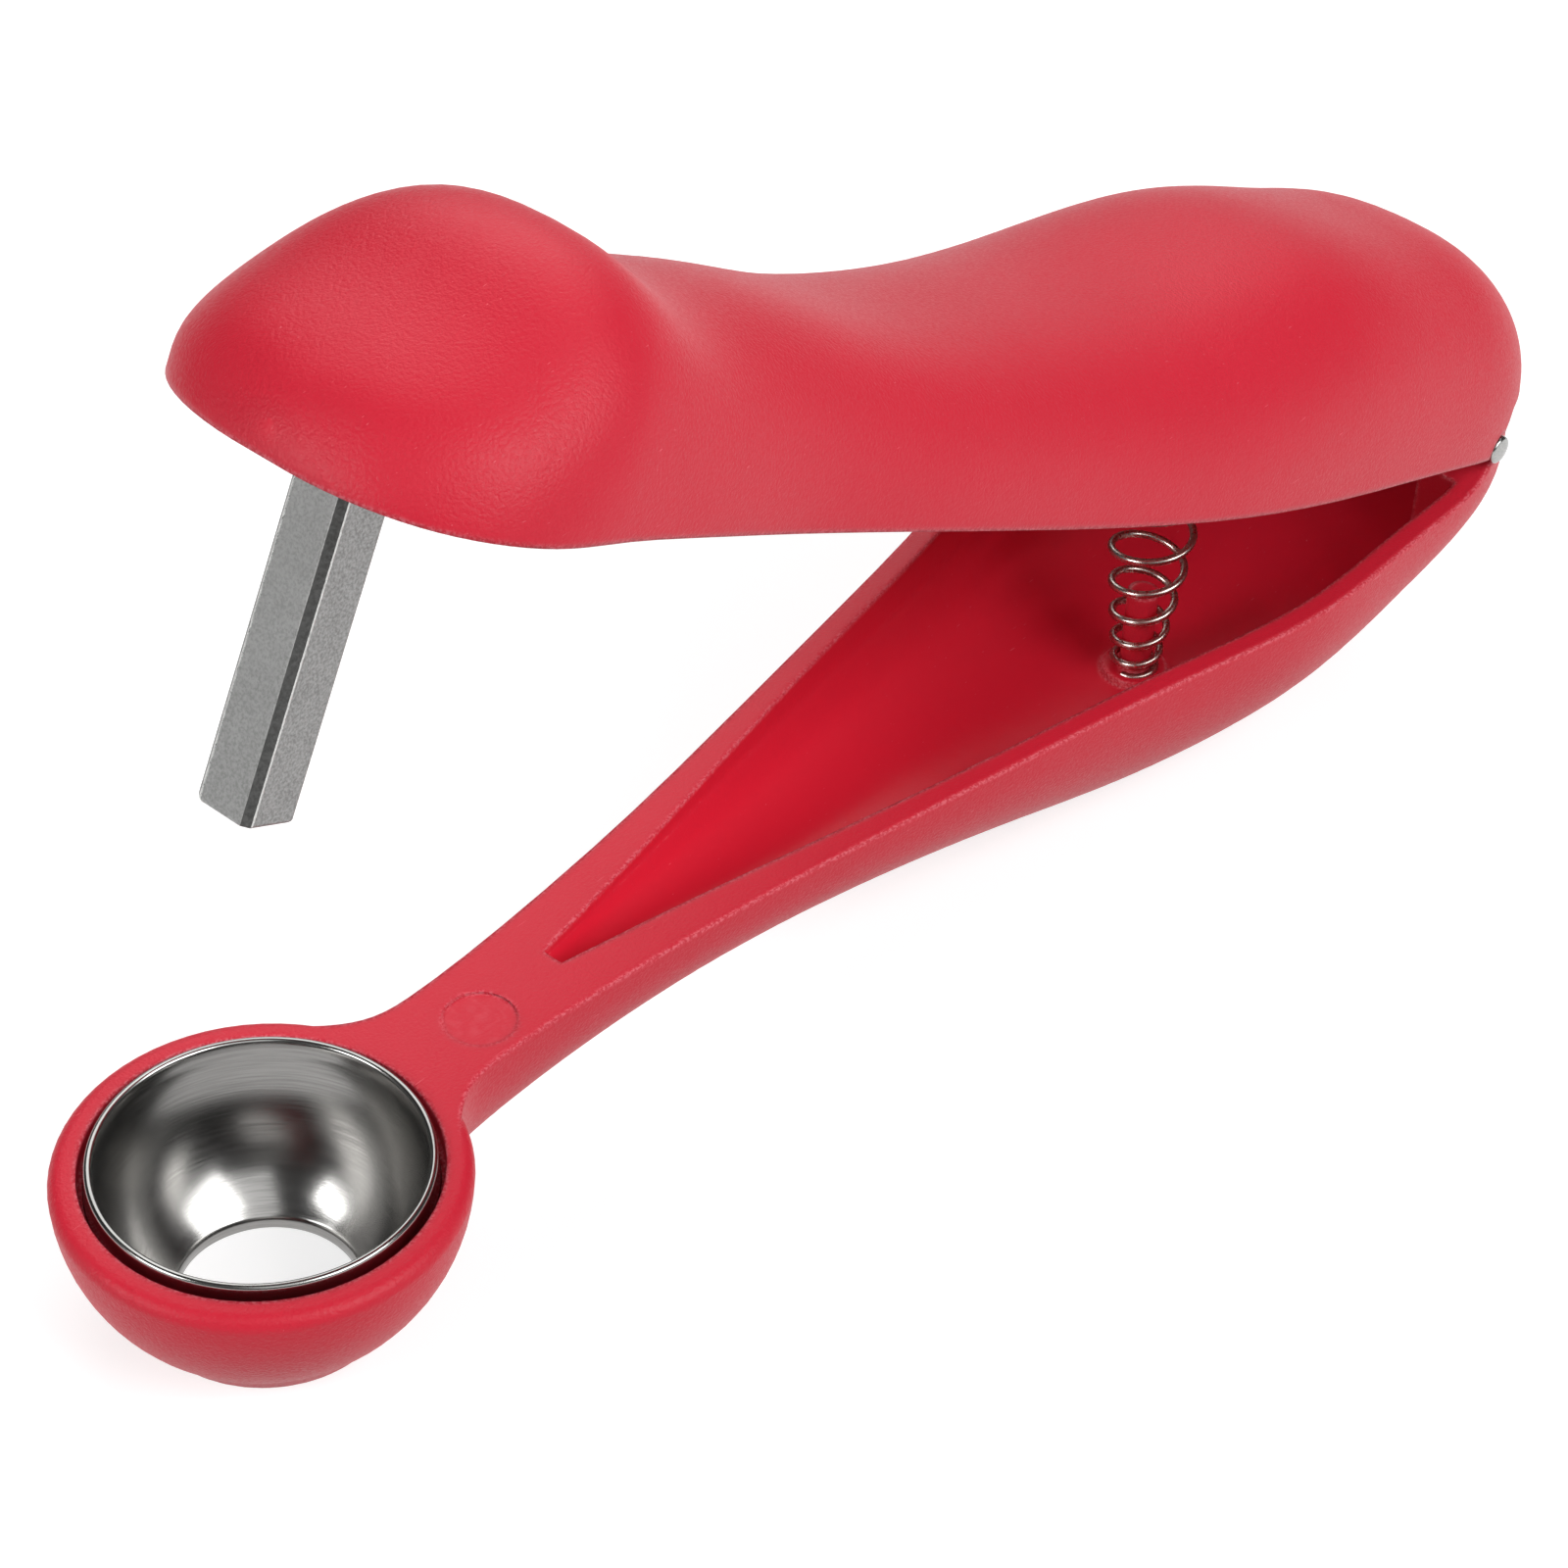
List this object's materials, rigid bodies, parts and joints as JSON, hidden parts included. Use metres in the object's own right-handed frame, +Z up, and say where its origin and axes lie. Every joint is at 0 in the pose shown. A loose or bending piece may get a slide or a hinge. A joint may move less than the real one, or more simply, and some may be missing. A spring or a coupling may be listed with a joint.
{
  "type": "olive pitter",
  "caption": "Hand pitter for olives: sprung moulded levers hinged at the rear, a drawn steel cup with an outlet in a ring, and a square steel rod under the hood.",
  "frame": {"origin": "middle of the outlet in the cup's floor, on the cup's axis", "axes": "+Z up the cup's axis, +X from the hinge towards the cup, +Y across the levers along the hinge pin"},
  "size_m": [0.1572, 0.0362, 0.083],
  "materials": {
    "red_plastic": "fine moulded texture",
    "drawn_steel": "polished",
    "bar_steel": "satin",
    "spring_steel": "bright drawn wire",
    "pin_steel": "ground"
  },
  "bodies": {
    "lower_lever": {"lower_handle": "red_plastic", "cup_insert": "drawn_steel", "hinge_pin": "pin_steel", "return_spring": "spring_steel"},
    "upper_lever": {"upper_handle": "red_plastic", "pitting_rod": "bar_steel"}
  },
  "joints": [
    {"name": "lever_hinge", "type": "hinge", "parent": "lower_lever", "child": "upper_lever", "pos_m": [-0.13, 0, 0.01545], "axis": [0, 1, 0], "range_deg": [0, 23.8], "stiffness_Nm_per_rad": 0.4, "springref_deg": -11.46, "deforming": ["return_spring"]}
  ]
}
